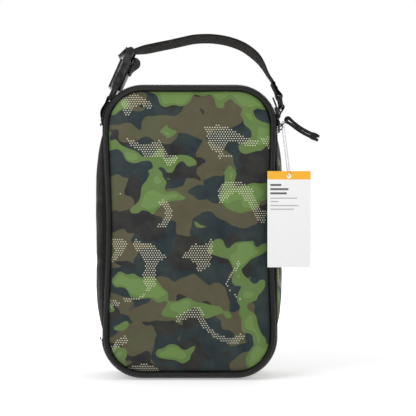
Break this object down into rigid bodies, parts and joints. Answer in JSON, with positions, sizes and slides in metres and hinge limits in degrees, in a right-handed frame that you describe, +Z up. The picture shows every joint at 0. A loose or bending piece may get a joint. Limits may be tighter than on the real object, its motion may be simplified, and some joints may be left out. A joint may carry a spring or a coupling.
{
  "type": "insulated cooler bag",
  "caption": "Soft insulated lunch bag with a zipped, piped front lid, foam walls and liner, a buckled webbing handle, a cord zipper puller and a blank swing tag.",
  "frame": {"origin": "middle of the base pad that the bag stands on", "axes": "+Z up along the bag's height, +X to the right seen from the front, the front lid faces -Y"},
  "size_m": [0.2081, 0.0847, 0.3221],
  "materials": {
    "camo_fabric": "woven polyester, printed, faint sheen",
    "black_fabric": "plain weave polyester",
    "piping_cord": "bound piping, satin",
    "webbing": "ribbed polypropylene webbing",
    "thread": "spun thread",
    "foam": "closed-cell foam, matte",
    "liner_film": "silvery film, satin",
    "zip_tape": "woven zipper tape",
    "zip_coil": "nylon coil",
    "zip_metal": "black lacquered die casting",
    "cord": "braided cord",
    "buckle_plastic": "moulded acetal, satin gloss",
    "tag_card": "coated card with a plain amber header",
    "tag_loop_plastic": "clear plastic thread"
  },
  "bodies": {
    "root": {"back_skin": "camo_fabric", "back_foam": "foam", "gusset_skin_camo": "camo_fabric", "gusset_skin_black": "black_fabric", "gusset_foam": "foam", "tub_liner": "liner_film", "rear_piping": "piping_cord", "zip_tape_body": "zip_tape", "zip_coil_body": "zip_coil", "tub_binding": "black_fabric", "hinge_strip": "black_fabric", "tab_left": "webbing", "tab_right": "webbing", "tab_stitches": "thread"},
    "lid": {"lid_skin": "camo_fabric", "lid_foam": "foam", "lid_liner": "liner_film", "front_piping": "piping_cord", "lid_binding": "black_fabric", "zip_tape_lid": "zip_tape", "zip_coil_lid": "zip_coil", "zip_stops": "zip_metal"},
    "slider": {"slider_lower": "zip_metal"},
    "pull": {"pull_link": "zip_metal"},
    "cord": {"pull_cord": "cord", "cord_whipping": "thread"},
    "slider_top": {"slider_upper": "zip_metal"},
    "pull_top": {"pull_tab_upper": "zip_metal"},
    "tag": {"swing_tag": "tag_card", "tag_loop": "tag_loop_plastic"},
    "handle": {"strap_ring": "buckle_plastic", "handle_webbing": "webbing", "webbing_stitches": "thread"},
    "socket": {"buckle_socket": "buckle_plastic"},
    "plug": {"buckle_plug": "buckle_plastic"},
    "prong_a": {"prong_front": "buckle_plastic"},
    "prong_b": {"prong_rear": "buckle_plastic"}
  },
  "joints": [
    {"name": "lid_hinge", "type": "hinge", "parent": "root", "child": "lid", "pos_m": [-0.0802, -0.031, 0.136], "axis": [0, 0, -1], "range_deg": [0, 160], "deforming": ["hinge_strip"]},
    {"name": "slider_travel", "type": "slide", "parent": "lid", "child": "slider", "axis": [0, 0, -1], "range_m": [0, 0.1]},
    {"name": "pull_tilt", "type": "hinge", "parent": "slider", "child": "pull", "pos_m": [0.084, -0.025, 0.233], "axis": [0, 1, 0], "range_deg": [-6, 38]},
    {"name": "cord_tilt", "type": "hinge", "parent": "pull", "child": "cord", "pos_m": [0.09089, -0.025, 0.23878], "axis": [0, 1, 0], "range_deg": [-40, 25]},
    {"name": "slider_top_travel", "type": "hinge", "parent": "lid", "child": "slider_top", "pos_m": [0.043, -0.025, 0.233], "axis": [0, -1, 0], "range_deg": [0, 68]},
    {"name": "pull_tab_flip", "type": "hinge", "parent": "slider_top", "child": "pull_top", "pos_m": [0.08228, -0.025, 0.24576], "axis": [0, 1, 0], "range_deg": [0, 90]},
    {"name": "tag_swing", "type": "hinge", "parent": "slider", "child": "tag", "pos_m": [0.08576, -0.029, 0.23448], "axis": [0, 1, 0], "range_deg": [-25, 4]},
    {"name": "handle_swing", "type": "hinge", "parent": "root", "child": "handle", "pos_m": [0, 0.005, 0.25], "axis": [1, 0, 0], "range_deg": [-20, 20], "deforming": ["tab_left", "tab_right"]},
    {"name": "socket_swing", "type": "hinge", "parent": "root", "child": "socket", "pos_m": [-0.075, 0.005, 0.25], "axis": [1, 0, 0], "range_deg": [-20, 20]},
    {"name": "plug_release", "type": "slide", "parent": "handle", "child": "plug", "axis": [0.4067, 0, 0.9135], "range_m": [0, 0.022], "deforming": ["handle_webbing", "prong_front", "prong_rear"]},
    {"name": "prong_front_press", "type": "hinge", "parent": "plug", "child": "prong_a", "pos_m": [-0.06198, -0.002, 0.29073], "axis": [0.9135, 0, -0.4067], "range_deg": [0, 6], "stiffness_Nm_per_rad": 0.15},
    {"name": "prong_rear_press", "type": "hinge", "parent": "plug", "child": "prong_b", "pos_m": [-0.06198, 0.012, 0.29073], "axis": [0.9135, 0, -0.4067], "range_deg": [-6, 0], "stiffness_Nm_per_rad": 0.15}
  ],
  "couplings": [
    {"joint": "socket_swing", "follows": "handle_swing", "ratio": 1}
  ]
}
